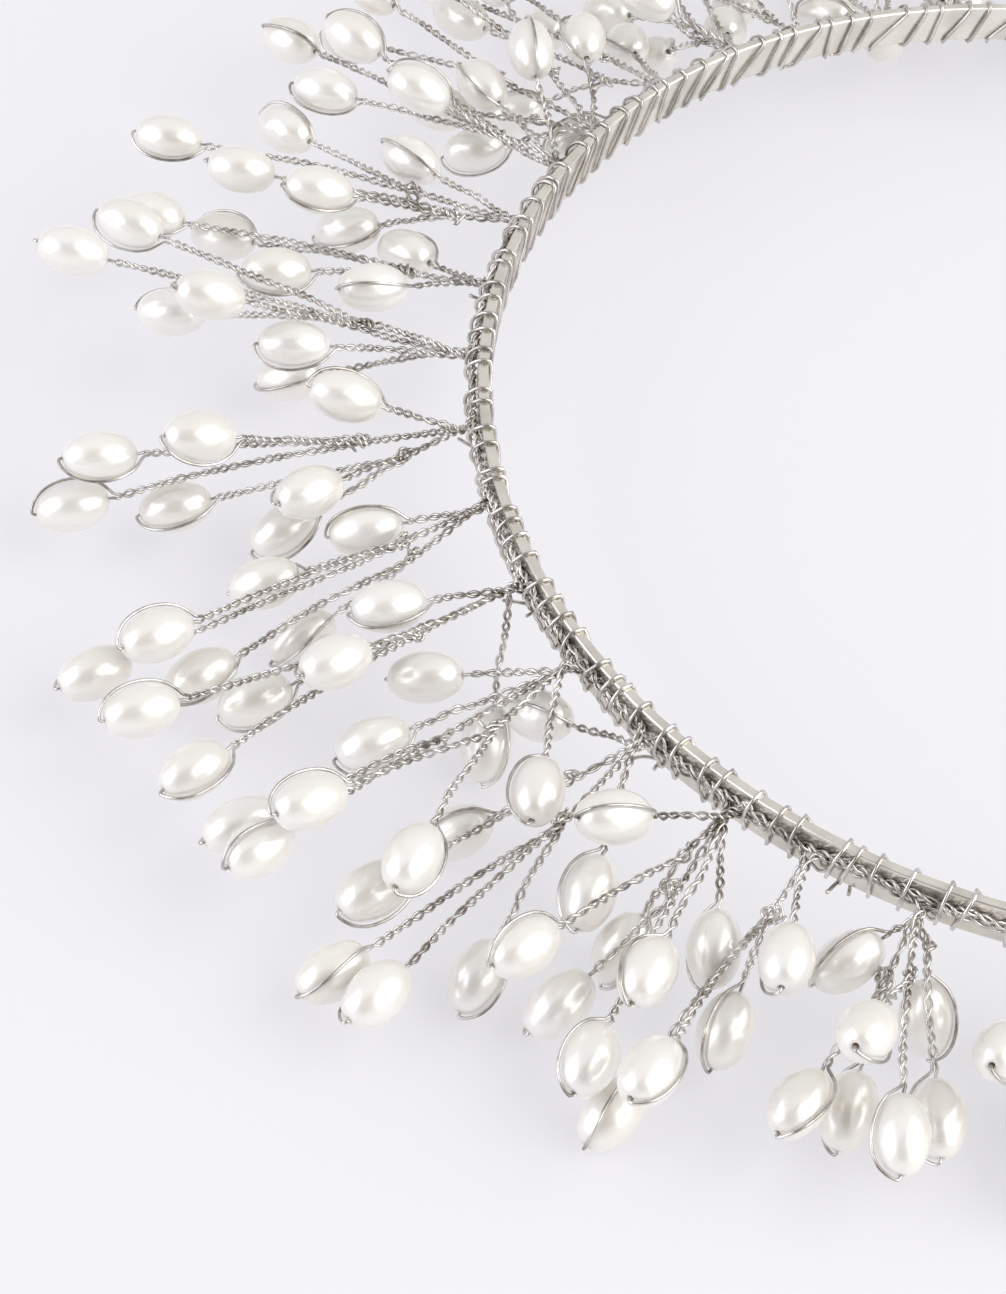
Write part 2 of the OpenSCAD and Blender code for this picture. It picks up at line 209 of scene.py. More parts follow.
def wire_tube(path, radius, sides=6):
    """Vertices and faces of a round wire along a path, rounded off at both ends."""
    path = np.asarray(path)
    tangents = np.gradient(path, axis=0)
    start = np.cross(tangents[0], (0.3, 0.2, 0.9))
    tangents, a, b = carried_frames(path, start)
    rings = len(path) + 2
    path = np.vstack((path[0] - 0.5 * radius * tangents[0], path, path[-1] + 0.5 * radius * tangents[-1]))
    a = np.vstack((a[:1], a, a[-1:]))
    b = np.vstack((b[:1], b, b[-1:]))
    size = np.full(rings, radius)
    size[0] = size[-1] = 0.45 * radius
    angles = np.arange(sides) * 2 * math.pi / sides
    ring = np.cos(angles)[None, :, None] * a[:, None] + np.sin(angles)[None, :, None] * b[:, None]
    points = (path[:, None] + size[:, None, None] * ring).reshape(-1, 3)
    r, j = np.meshgrid(np.arange(rings - 1), np.arange(sides), indexing="ij")
    nxt = (j + 1) % sides
    quads = np.stack((r * sides + j, r * sides + nxt, (r + 1) * sides + nxt, (r + 1) * sides + j), -1)
    faces = [tuple(q) for q in quads.reshape(-1, 4).tolist()]
    faces.append(tuple(range(sides))[::-1])
    faces.append(tuple(range((rings - 1) * sides, rings * sides)))
    return points, faces


def build_mesh(name, parts, material, nodes, uvs=None):
    """One object from several (points in mm, faces) parts, riding on the root and standing for nodes."""
    points, faces, start = [], [], 0
    for part_points, part_faces in parts:
        points.append(np.asarray(part_points))
        faces.extend([tuple(i + start for i in face) for face in part_faces])
        start += len(part_points)
    mesh = bpy.data.meshes.new(name)
    mesh.from_pydata((np.vstack(points) * 0.001).tolist(), [], faces)
    mesh.polygons.foreach_set("use_smooth", [True] * len(mesh.polygons))
    if uvs is not None:
        layer = mesh.uv_layers.new(name="length_and_height")
        corner_vertices = np.empty(len(mesh.loops), int)
        mesh.loops.foreach_get("vertex_index", corner_vertices)
        layer.data.foreach_set("uv", np.asarray(uvs)[corner_vertices].ravel())
    mesh.materials.append(material)
    mesh.update()
    piece = bpy.data.objects.new(name, mesh)
    bpy.context.scene.collection.objects.link(piece)
    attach(piece, "root")
    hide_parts(*nodes)
    return piece


# materials
def linear(hex_colour):
    """An sRGB hex colour as linear RGBA."""
    values = [int(hex_colour.lstrip("#")[i:i + 2], 16) / 255 for i in (0, 2, 4)]
    return tuple(v / 12.92 if v <= 0.04045 else ((v + 0.055) / 1.055) ** 2.4 for v in values) + (1.0,)


def add_node(tree, kind, settings=None, inputs=None):
    """Adds a node, sets its own settings, and sets or links its inputs."""
    node = tree.nodes.new(kind)
    for key, value in (settings or {}).items():
        setattr(node, key, value)
    for key, value in (inputs or {}).items():
        if isinstance(value, bpy.types.NodeSocket):
            tree.links.new(value, node.inputs[key])
        else:
            node.inputs[key].default_value = value
    return node


def new_material(name):
    """An empty node material and its tree."""
    material = bpy.data.materials.new(name)
    material.use_nodes = True
    material.node_tree.nodes.clear()
    return material, material.node_tree


def finish_material(tree, shader):
    """Links the shader to the material's output."""
    add_node(tree, "ShaderNodeOutputMaterial", inputs={"Surface": shader.outputs[0]})


def colour_steps(tree, factor, steps):
    """A colour ramp with (place, linear colour) steps."""
    ramp = add_node(tree, "ShaderNodeValToRGB", inputs={"Fac": factor})
    while len(ramp.color_ramp.elements) < len(steps):
        ramp.color_ramp.elements.new(0.5)
    for element, (place, colour) in zip(ramp.color_ramp.elements, steps):
        element.position = place
        element.color = colour
    return ramp.outputs["Color"]


def rolled_spring_steel(colour):
    """Spring steel strip, cold rolled and brushed lengthwise: a grey sheen drawn out along the strip."""
    material, tree = new_material("rolled_spring_steel")
    uv = add_node(tree, "ShaderNodeUVMap", {"uv_map": "length_and_height"}).outputs["UV"]
    # brush lines 0.12 mm apart and about 8 mm long; the UV runs in millimetres
    stretched = add_node(
        tree, "ShaderNodeMapping", inputs={"Vector": uv, "Scale": (1 / 8, 1 / 0.12, 1)}
    ).outputs["Vector"]
    lines = add_node(
        tree, "ShaderNodeTexNoise", {"noise_dimensions": "2D"},
        {"Vector": stretched, "Scale": 1.0, "Detail": 3.0, "Roughness": 0.6},
    ).outputs["Fac"]
    # stains of handling, about 5 mm across
    stains = add_node(
        tree, "ShaderNodeTexNoise", {"noise_dimensions": "2D"},
        {"Vector": uv, "Scale": 1 / 5, "Detail": 3.0, "Roughness": 0.55},
    ).outputs["Fac"]
    stained = colour_steps(tree, stains, ((0.3, linear("#D6D1C8")), (0.6, colour)))
    # painted shade and reflection of the garland: brown spots about 1.2 mm across, where the garland lies
    # on the outer face
    place = add_node(tree, "ShaderNodeSeparateXYZ", inputs={"Vector": uv})
    near = 1.0
    along = ("X", 0.0, GARLAND_HALF - 4, GARLAND_HALF)
    across = ("Y", GARLAND_HEIGHT, 0.2, 0.9)
    for axis, middle, start, end in (along, across):
        aside = add_node(
            tree, "ShaderNodeMath", {"operation": "SUBTRACT"}, {0: place.outputs[axis], 1: middle}
        ).outputs["Value"]
        aside = add_node(tree, "ShaderNodeMath", {"operation": "ABSOLUTE"}, {0: aside}).outputs["Value"]
        share = add_node(
            tree, "ShaderNodeMapRange",
            inputs={"Value": aside, "From Min": start, "From Max": end, "To Min": 1.0, "To Max": 0.0},
        ).outputs["Result"]
        near = add_node(
            tree, "ShaderNodeMath", {"operation": "MULTIPLY"}, {0: near, 1: share}
        ).outputs["Value"]
    spots = add_node(
        tree, "ShaderNodeTexNoise", {"noise_dimensions": "2D"},
        {"Vector": uv, "Scale": 1 / 1.2, "Detail": 2.0, "Roughness": 0.6},
    ).outputs["Fac"]
    spots = colour_steps(tree, spots, ((0.42, (0.0, 0.0, 0.0, 1.0)), (0.58, (1.0, 1.0, 1.0, 1.0))))
    # painted shade near the garland: brown spots that stand in for its shadow and its reflection in the
    # steel
    garland_painted_shade = add_node(
        tree, "ShaderNodeMath", {"operation": "MULTIPLY"}, {0: near, 1: spots}
    ).outputs["Value"]
    # the steel turns dark brown where this painted shade lies
    base = add_node(
        tree, "ShaderNodeMix", {"data_type": "RGBA"}, {0: garland_painted_shade, 6: stained, 7: linear("#877D70")}
    ).outputs[2]
    rough = add_node(
        tree, "ShaderNodeMapRange",
        inputs={"Value": lines, "From Min": 0.3, "From Max": 0.7, "To Min": 0.16, "To Max": 0.28},
    ).outputs["Result"]
    bump = add_node(
        tree, "ShaderNodeBump", inputs={"Height": lines, "Strength": 0.12, "Distance": 0.00003}
    ).outputs["Normal"]
    shader = add_node(
        tree, "ShaderNodeBsdfPrincipled",
        inputs={"Base Color": base, "Metallic": 0.8, "Roughness": rough, "Normal": bump},
    )
    finish_material(tree, shader)
    return material


def drawn_plated_wire(name, colour, dark_colour, roughness):
    """Silver-plated copper wire, drawn: bright glints on mid grey, with dull patches from handling."""
    material, tree = new_material(name)
    place = add_node(tree, "ShaderNodeTexCoord").outputs["Object"]
    # dull patches about 3 mm apart; the object coordinates are in metres
    patches = add_node(
        tree, "ShaderNodeTexNoise",
        inputs={"Vector": place, "Scale": 1000 / 3, "Detail": 3.0, "Roughness": 0.6},
    ).outputs["Fac"]
    base = colour_steps(tree, patches, ((0.35, dark_colour), (0.6, colour)))
    # fine die lines would be under 0.02 mm, so they are drawn as a 0.15 mm unevenness
    uneven = add_node(
        tree, "ShaderNodeTexNoise",
        inputs={"Vector": place, "Scale": 1000 / 0.15, "Detail": 1.0},
    ).outputs["Fac"]
    bump = add_node(
        tree, "ShaderNodeBump", inputs={"Height": uneven, "Strength": 0.08, "Distance": 0.00002}
    ).outputs["Normal"]
    shader = add_node(
        tree, "ShaderNodeBsdfPrincipled",
        inputs={"Base Color": base, "Metallic": 1.0, "Roughness": roughness, "Normal": bump},
    )
    finish_material(tree, shader)
    return material


def lacquered_pearl(colour):
    """Plastic beads dipped in pearl lacquer: milky and warm at the rim, a silky broad gloss over it."""
    material, tree = new_material("lacquered_imitation_pearl")
    place = add_node(tree, "ShaderNodeTexCoord").outputs["Object"]
    # cloudy changes of tint from bead to bead, about 9 mm apart
    clouds = add_node(
        tree, "ShaderNodeTexNoise", inputs={"Vector": place, "Scale": 1000 / 9, "Detail": 1.0}
    ).outputs["Fac"]
    tint = colour_steps(tree, clouds, ((0.35, linear("#EFECE5")), (0.65, colour)))
    # grain of the mica in the lacquer, about 0.12 mm, coarser than the real 0.02 mm so that it shows
    grain = add_node(
        tree, "ShaderNodeTexNoise", inputs={"Vector": place, "Scale": 1000 / 0.12, "Detail": 2.0}
    ).outputs["Fac"]
    # the lacquer pools in waves about 1.6 mm apart
    waves = add_node(
        tree, "ShaderNodeTexNoise", inputs={"Vector": place, "Scale": 1000 / 1.6, "Detail": 1.0}
    ).outputs["Fac"]
    fine = add_node(
        tree, "ShaderNodeBump", inputs={"Height": grain, "Strength": 0.12, "Distance": 0.00002}
    ).outputs["Normal"]
    bump = add_node(
        tree, "ShaderNodeBump",
        inputs={"Height": waves, "Strength": 0.1, "Distance": 0.00006, "Normal": fine},
    ).outputs["Normal"]
    shader = add_node(
        tree, "ShaderNodeBsdfPrincipled",
        inputs={
            "Base Color": tint, "Metallic": 0.34, "Roughness": 0.28, "IOR": 1.53,
            "Subsurface Weight": 0.5, "Subsurface Radius": (1.0, 0.92, 0.8),
            "Subsurface Scale": 0.0014, "Sheen Weight": 0.35, "Sheen Roughness": 0.35,
            "Sheen Tint": linear("#FFFBF0"), "Coat Weight": 0.6, "Coat Roughness": 0.17,
            "Coat IOR": 1.53, "Normal": bump,
        },
    )
    finish_material(tree, shader)
    return material


def opal_panel(colour, glow):
    """Opal glass of a light table, ground matt: an even near-white that softens every shadow."""
    material, tree = new_material("ground_opal_glass")
    shader = add_node(
        tree, "ShaderNodeBsdfPrincipled",
        inputs={
            "Base Color": colour, "Roughness": 0.7, "IOR": 1.5, "Emission Strength": glow,
            "Emission Color": linear("#F8F7FC"),
        },
    )
    finish_material(tree, shader)
    return material


# settings
def size_property(name, description, default, low, high):
    """A length, given here in millimetres and kept in metres."""
    return bpy.props.FloatProperty(
        name=name, description=description, default=default * 0.001, min=low * 0.001, max=high * 0.001,
        precision=5, subtype="DISTANCE", unit="LENGTH",
    )


def colour_property(name, description, hex_colour):
    """A colour, given here as an sRGB hex one and kept linear."""
    return bpy.props.FloatVectorProperty(
        name=name, description=description, default=linear(hex_colour), size=4, min=0.0, max=1.0,
        subtype="COLOR",
    )


def power_property(name, description, default):
    """The power of a light in watts."""
    return bpy.props.FloatProperty(
        name=name, description=description, default=default, min=0.0, subtype="POWER", unit="POWER"
    )


def in_mm(length):
    """A length that is kept in metres, in millimetres."""
    return length * 1000


class PearlCrownBand(bpy.types.PropertyGroup):
    """What a user may change of the band and the wire wound round it."""

    steel: colour_property("Steel colour", "Colour of the spring steel", "#E9E5DC")
    binding: size_property("Binding wire", "Diameter of the binding wire", 0.37, 0.3, 0.45)
    wander: size_property("Wander", "How far turns of the binding wire stray", 1.0, 0.0, 1.1)


class PearlCrownWire(bpy.types.PropertyGroup):
    """What a user may change of the stems and the garland."""

    diameter: size_property("Wire", "Diameter of one wire", 0.3, 0.25, 0.45)
    twist: size_property("Twist", "Length of one full twist of a pair", 2.5, 1.6, 3.2)
    colour: colour_property("Wire colour", "Colour of the plated wire", "#E1DEDA")
    dull: colour_property("Dull colour", "Colour of its dull patches", "#9F9992")


class PearlCrownPearls(bpy.types.PropertyGroup):
    """What a user may change of the pearls."""

    length: size_property("Length", "Length of a pearl along its hole", 7.0, 6.0, 8.0)
    diameter: size_property("Diameter", "Diameter of a pearl", 4.8, 4.0, 5.4)
    end_radius: size_property("End radius", "Radius of a pearl's ends", 1.98, 1.4, 2.2)
    hole: size_property("Hole", "Diameter of the hole", 0.56, 0.5, 1.0)
    colour: colour_property("Pearl colour", "Colour of the lacquer", "#F4F2EE")


class PearlCrownStage(bpy.types.PropertyGroup):
    """What a user may change of the studio."""

    floor: colour_property("Floor colour", "Colour of the floor", "#A09FA1")
    glow: bpy.props.FloatProperty(
        name="Floor glow", description="How strongly the floor is lit from below", default=0.52, min=0.0,
        max=2.0, subtype="FACTOR",
    )
    key: power_property("Key light", "Power of the main soft light", 7.0)
    fill: power_property("Fill light", "Power of the second soft light", 4.2)


# pieces
class CrownOperator:
    """What the operators have in common."""

    bl_options = {"REGISTER", "UNDO"}


class PEARLCROWN_OT_band(CrownOperator, bpy.types.Operator):
    """Makes the flat band, its edges rounded and its tips cut"""

    bl_idname = "pearl_crown.band"
    bl_label = "Band"

    def execute(self, context):
        settings = context.scene.pearl_crown_band
        corner = [(math.cos(a), math.sin(a)) for a in np.radians((0, 22.5, 45, 67.5, 90))]
        # one more point on each flat keeps the flat faces flat in smooth shading
        corner = [(1.0, -0.3)] + corner + [(-0.3, 1.0)]
        count = 220
        rings, uvs = [], []
        places = [TIP_S * math.sin(math.pi / 2 * t) for t in np.linspace(-1, 1, count)]
        near_tip = [TIP_S - TIP_CUT * t for t in (0.0, 0.1, 0.35, 0.7, 1.0)]
        places = sorted(
            [p for p in places if abs(p) < TIP_S - 1.2 * TIP_CUT]
            + near_tip + [-p for p in near_tip]
        )
        for s in places:
            cut = max(0.0, TIP_CUT - (TIP_S - abs(s)))
            high = BAND_W / 2 - cut
            thick = BAND_T / 2 - (0.12 if TIP_S - abs(s) < 0.05 else 0.0)
            ring = []
            for quarter, (sx, sz) in enumerate(((1, -1), (1, 1), (-1, 1), (-1, -1))):
                bend = corner[::-1] if quarter % 2 == 0 else corner
                for x, z in bend:
                    ring.append((
                        sx * (thick - BAND_EDGE + BAND_EDGE * x) - BAND_T / 2,
                        sz * (high - BAND_EDGE + BAND_EDGE * z),
                    ))
            rings.append([at_band(s, out, up) for out, up in ring])
            girth = np.concatenate(([0.0], np.cumsum(np.linalg.norm(np.diff(ring, axis=0), axis=1))))
            uvs.extend([(s, g) for g in girth])
        sides = len(rings[0])
        points = np.array(rings).reshape(-1, 3)
        faces = []
        for r in range(len(rings) - 1):
            for j in range(sides):
                k = (j + 1) % sides
                faces.append((r * sides + j, (r + 1) * sides + j, (r + 1) * sides + k, r * sides + k))
        faces.append(tuple(range(sides)))
        faces.append(tuple(range((len(rings) - 1) * sides, len(rings) * sides))[::-1])
        build_mesh("band_strip", [(points, faces)], rolled_spring_steel(settings.steel),
                   ["band"], uvs)
        return {"FINISHED"}


class PEARLCROWN_OT_binding(CrownOperator, bpy.types.Operator):
    """Winds the thin wire round the band and the garland, in lengths with cut ends"""

    bl_idname = "pearl_crown.binding"
    bl_label = "Binding wire"

    def execute(self, context):
        settings = context.scene.pearl_crown_band
        wander = in_mm(settings.wander)
        wire_r = in_mm(settings.binding) / 2
        chance = random.Random(11)
        followed = {turn for turn, _ in SPRAYS}
        gap = wire_r + 0.03
        top = BAND_W / 2 + gap
        back = -BAND_T - gap
        over = 2 * GARLAND_OUT + wire_r - 0.02
        # out from the outer face and up: up the inner face, over the top, down outside and under
        inner = [(back, -0.85 * top), (back - 0.05, 0.0), (back, 0.85 * top)]
        over_top = [(-0.8 * BAND_T, top), (-0.15 * BAND_T, top)]
        outer = [(gap, 0.9 * top), (0.65 * over, 0.72 * top), (over, 0.45 * top), (over, 0.02 * top),
                 (0.5 * over, -0.4 * top), (gap, -0.86 * top)]
        under = [(-0.15 * BAND_T, -top), (-0.8 * BAND_T, -top)]
        loop = inner + over_top + outer + under
        parts = []
        first = -(BIND_LENGTHS * BIND_TURNS // 2)
        for length in range(BIND_LENGTHS):
            points = []
            stray = 0.0
            for turn in range(BIND_TURNS):
                number = first + length * BIND_TURNS + turn
                # the wire goes forward mostly up the inner face
                slant = chance.uniform(-0.3, 0.45)
                shares = (
                    list(np.linspace(-0.92 + slant / 2, -0.06 - slant / 2, len(inner)))
                    + [-0.04 - slant / 2, -0.02 - slant / 2]
                    + list(np.linspace(-slant / 2, slant / 2, len(outer)))
                    + [slant / 2 + 0.03, slant / 2 + 0.06]
                )
                # a turn next to the root of a spray strays only away from it
                low = -0.9 + 0.8 * (number - 1 in followed)
                high = 0.9 - 0.8 * (number in followed)
                before, stray = stray, wander * chance.uniform(low, high)
                for i, ((out, up), share) in enumerate(zip(loop, shares)):
                    gone = before + (stray - before) * min(1.0, i / (len(inner) - 1))
                    s = (number + share) * BIND_PITCH + gone
                    points.append(at_band(s, out, up + chance.uniform(-0.05, 0.05)))
            # both ends are cut off short, standing away from the outer face
            s0 = (first + length * BIND_TURNS - 0.9) * BIND_PITCH
            points.insert(0, at_band(s0 - 0.2, -0.4, -top - 0.02))
            points.insert(0, at_band(s0 - 0.5, 0.6, -top - 0.1))
            s1 = (first + (length + 1) * BIND_TURNS - 0.6) * BIND_PITCH
            points.append(at_band(s1 + 0.1, 0.3, -top + 0.1))
            points.append(at_band(s1 + 0.3, chance.uniform(1.6, 2.4), -top + chance.uniform(0.2, 1.0)))
            parts.append(wire_tube(smooth_path(points, BINDING_STEP), wire_r))
        wire = context.scene.pearl_crown_wire
        build_mesh("binding_wire_turns", parts,
                   drawn_plated_wire("drawn_binding_wire", wire.colour, linear("#B8B3AD"), 0.2),
                   ["binding_wire"])
        return {"FINISHED"}


def twisted_pair(path, side, radius, twist, chance):
    """Two strands wound loosely round a path; at its last point the second one stands towards side."""
    back = path[::-1]
    _, a, b = carried_frames(back, side)
    run = np.concatenate(([0.0], np.cumsum(np.linalg.norm(np.diff(back, axis=0), axis=1))))
    start = chance.uniform(0, 2 * math.pi)
    # hand twisting is tighter here and looser there, over 4 to 6 mm
    angle = (2 * math.pi * run / twist + 0.5 * (np.sin(run / 0.9 + start) - math.sin(start)))[:, None]
    apart = radius * (1.22 + 0.62 * np.sin(run / 1.4 + 2 * start) ** 2)[:, None]
    off = apart * (np.cos(angle) * a + np.sin(angle) * b)
    return (back - off)[::-1], (back + off)[::-1]


class PEARLCROWN_OT_garland(CrownOperator, bpy.types.Operator):
    """Lays the two twisted strands that run along the outer face of the band"""

    bl_idname = "pearl_crown.garland"
    bl_label = "Garland"

    def execute(self, context):
        wire = context.scene.pearl_crown_wire
        radius = in_mm(wire.diameter) / 2
        chance = random.Random(5)
        material = drawn_plated_wire("drawn_garland_wire", wire.colour, linear("#8F8981"), 0.22)
        for node, side in (("garland_upper", 1), ("garland_lower", -1)):
            points = []
            for s in np.arange(-GARLAND_HALF, GARLAND_HALF + 0.1, 2.0):
                points.append(at_band(
                    s, GARLAND_OUT + chance.uniform(-0.1, 0.04),
                    GARLAND_Z * (0.7 * side + 1.1) + chance.uniform(-0.25, 0.25)
                ))
            path = smooth_path(points, STEM_STEP)
            upward = np.array((0.0, 0.0, 1.0))
            strands = twisted_pair(path, upward, 0.94 * radius, in_mm(wire.twist), chance)
            build_mesh(node + "_strands", [wire_tube(strand, radius) for strand in strands],
                       material, [node])
        return {"FINISHED"}


class Spray:
    """Places of one spray: where its bundles fork, and the axes of its pearls."""

    def __init__(self, number):
        turn, kind = SPRAYS[number]
        self.s = (turn + 0.5) * BIND_PITCH
        self.rows = KIND_ROWS[kind]
        self.point, out, along, up = band_axes(self.s)
        self.turn = np.column_stack((out, along, up))

    def to_frame(self, v):
        """Point of the frame for one given out from the band, along it and up."""
        return self.point + self.turn @ np.asarray(v, float)

    def ends(self, bundle):
        """Middles of the pearls on one bundle."""
        return [np.array(row[1:4], float) for row in self.rows if row[0] == bundle]

    def fork(self, bundle):
        """Place where a bundle parts into its stems."""
        if bundle == 0:
            return np.array((ROOT_OUT, 0.0, 0.0))
        ends = self.ends(bundle)
        return unit(np.mean(ends, axis=0)) * FORK_SHARE * min(np.linalg.norm(e) for e in ends)

    def pearl_axes(self, row):
        """Middle of a pearl, direction of its hole, and the direction of its loop's side."""
        middle = np.array(row[1:4], float)
        axis = unit(middle - self.fork(row[0]))
        level = unit(np.cross((0.0, 0.0, 1.0), axis))
        over = np.cross(axis, level)
        angle = math.radians(row[4])
        side = math.cos(angle) * level + math.sin(angle) * over
        return self.to_frame(middle), self.turn @ axis, self.turn @ side


# The wire beyond the neck, for a 7 by 4.8 pearl: along its hole, off to the loop's side, and how
# much further a slack loop stands off there.
THROUGH = ((-3.6, -0.05, 0), (-2, 0, 0), (0, 0, 0), (2, 0, 0), (3.3, 0, 0))
ROUND = ((3.6, 0.04, 0), (3.75, 0.18, 0.01), (3.74, 0.42, 0.03), (3.63, 0.7, 0.07), (3.41, 1.07, 0.12),
         (3.0, 1.55, 0.2), (2.5, 1.91, 0.22), (1.8, 2.25, 0.22), (0.9, 2.48, 0.18), (0, 2.56, 0.14),
         (-0.9, 2.48, 0.1), (-1.8, 2.25, 0.08), (-2.5, 1.9, 0.05), (-3, 1.54, 0.04), (-3.5, 0.94, 0.02),
         (-3.9, 0.4, 0))
NECK = 4.15


class PEARLCROWN_OT_stems(CrownOperator, bpy.types.Operator):
    """Twists the stems of every spray, with the loop that each makes round its pearl"""

    bl_idname = "pearl_crown.stems"
    bl_label = "Stems and loops"

    def way_out(self, spray, place, chance):
        """Points of a stem from its end under the binding wire to the root of the spray."""
        way = chance.choice((-1, 1))
        tail = chance.uniform(2.0, 4.0) if place == 0 else chance.uniform(0.9, 1.5)
        height = chance.uniform(-0.2, 1.3)
        return [
            at_band(spray.s + way * tail, 0.42, height),
            at_band(spray.s + way * tail * 0.55, 0.46, height * chance.uniform(0.7, 1.0)),
            at_band(spray.s + way * 0.6, 0.75, 0.5 * height),
        ]

    def through_bundle(self, spray, fork, place, count, chance):
        """Points of a stem that runs through a bundle of one or two, from the root to the fork."""
        start = np.array((ROOT_OUT, 0.0, 0.0))
        run = unit(fork - start)
        across = unit(np.cross(run, (0.0, 0.2, 1.0)))
        above = np.cross(run, across)
        spread = BUNDLE_SPREAD if count > 1 else 0.1
        first_angle = math.pi * place + chance.uniform(0, 1)
        points = []
        for share in (0.0, 0.3, 0.65, 1.0):
            turned = first_angle + BUNDLE_TURN * share
            off = spread * (math.cos(turned) * across + math.sin(turned) * above)
            points.append(spray.to_frame(start + (fork - start) * share + off))
        return points

    def round_bundle(self, spray, fork, neck, chance):
        """Points of a stem that begins at a fork: once round the bundle and away to its pearl."""
        centre = spray.to_frame(fork)
        run = unit(spray.turn @ fork)
        aim = unit(neck - centre)
        away = aim - run * (aim @ run)
        away = unit(away) if np.linalg.norm(away) > 0.05 else unit(np.cross(run, (0.1, 0.2, 1.0)))
        over = np.cross(run, away) * chance.choice((-1, 1))
        return [
            centre - 1.5 * run - 0.25 * away,
            centre - 1.0 * run - 0.3 * away + 0.45 * over,
            centre - 0.5 * run + 0.2 * away + 0.5 * over,
            centre + 0.45 * away + 0.1 * over,
            centre + 0.7 * aim + 0.35 * away,
        ]

    def stem_path(self, spray, row, place, carried, chance):
        """Centre line of one twisted stem, from its start to the neck of its pearl."""
        middle, axis, side = spray.pearl_axes(row)
        neck = middle - NECK * axis
        fork = spray.fork(row[0])
        if not row[0]:
            angle = ROOT_TURN * place
            off = 0.35 * np.array((0.0, math.cos(angle), math.sin(angle)))
            points = self.way_out(spray, place, chance) + [spray.to_frame(fork + off)]
        elif place < carried:
            points = self.way_out(spray, place, chance)
            points += self.through_bundle(spray, fork, place, carried, chance)
        else:
            points = self.round_bundle(spray, fork, neck, chance)
        last = points[-1]
        reach = np.linalg.norm(neck - last)
        bow = np.cross(axis, unit(np.array((chance.uniform(-1, 1), chance.uniform(-1, 1), 1.0))))
        bow = unit(bow) * min(0.5, 0.03 * reach) * chance.uniform(0.3, 1.0)
        for share in (0.25, 0.5, 0.75):
            if reach * share > 1.2:
                sway = np.array([chance.uniform(-0.12, 0.12) for _ in range(3)])
                points.append(last + (neck - last) * share + bow * math.sin(math.pi * share) + sway)
        if reach > 2.0:
            points.append(neck - 0.8 * axis)
        points.append(neck)
        return smooth_path(points, STEM_STEP), middle, axis, side

    def loop_points(self, table, middle, axis, side, lean, slack):
        """Points of the wire through or round a pearl, from a table of places beside its hole."""
        third = np.cross(axis, side)
        points = []
        for along, off, looser in table:
            turned = lean * along / NECK
            aside = math.cos(turned) * side + math.sin(turned) * third
            points.append(middle + along * axis + (off + slack * looser) * aside)
        return points

    def eyelet(self, spray, bundle, radius, chance):
        """A small ring of single wire that the twisting left where a bundle forks."""
        fork = spray.to_frame(spray.fork(bundle))
        run = unit(spray.turn @ spray.fork(bundle))
        angle = chance.uniform(0, 2 * math.pi)
        across = unit(np.cross(run, (0.1, 0.2, 1.0)))
        out = math.cos(angle) * across + math.sin(angle) * np.cross(run, across)
        beside = np.cross(run, out)
        size = chance.uniform(0.42, 0.62)
        centre = fork - chance.uniform(0.6, 1.3) * run + (0.3 + size) * out
        points = [fork - 2.2 * run + 0.3 * beside]
        for i in range(13):
            turned = math.radians(-160 + 32 * i)
            points.append(
                centre + size * (math.sin(turned) * run - math.cos(turned) * out)
                + (0.05 * i - 0.3) * beside
            )
        points.append(fork + 0.6 * run - 0.35 * beside)
        return wire_tube(smooth_path(points, LOOP_STEP), radius)

    def cut_end(self, spray, bundle, radius, chance):
        """A cut end of wire, bent away from a fork."""
        fork = spray.to_frame(spray.fork(bundle))
        run = unit(spray.turn @ spray.fork(bundle))
        across = unit(np.cross(run, (0.1, 0.2, 1.0)))
        angle = chance.uniform(0, 2 * math.pi)
        out = math.cos(angle) * across + math.sin(angle) * np.cross(run, across)
        bend = fork + 0.5 * out
        end = bend + chance.uniform(0.5, 1.1) * unit(out + chance.uniform(-1, 1) * run)
        points = [fork - 1.4 * run - 0.3 * out, fork - 0.6 * run + 0.35 * out, bend, end]
        return wire_tube(smooth_path(points, LOOP_STEP), radius)

    def hook_on_face(self, spray, radius, chance):
        """A single wire from the root up over the band's face and back under the garland."""
        way = chance.choice((-1, 1))
        rise = chance.choice((1, 1, -1))
        span = chance.uniform(1.6, 2.6)
        table = ((0.1, 0.9, 0.3), (0.3, 0.62, 0.9), (0.55, 0.35, 1.55), (0.8, 0.35, 1.35), (1.0, 0.5, 0.7))
        points = [at_band(spray.s + way * span * share, out, rise * up) for share, out, up in table]
        return wire_tube(smooth_path(points, STEM_STEP), radius)

    def execute(self, context):
        wire = context.scene.pearl_crown_wire
        radius = in_mm(wire.diameter) / 2
        material = drawn_plated_wire("drawn_stem_wire", wire.colour, wire.dull, 0.2)
        for number in range(len(SPRAYS)):
            chance = random.Random(100 + number)
            spray = Spray(number)
            parts = []
            placed = {}
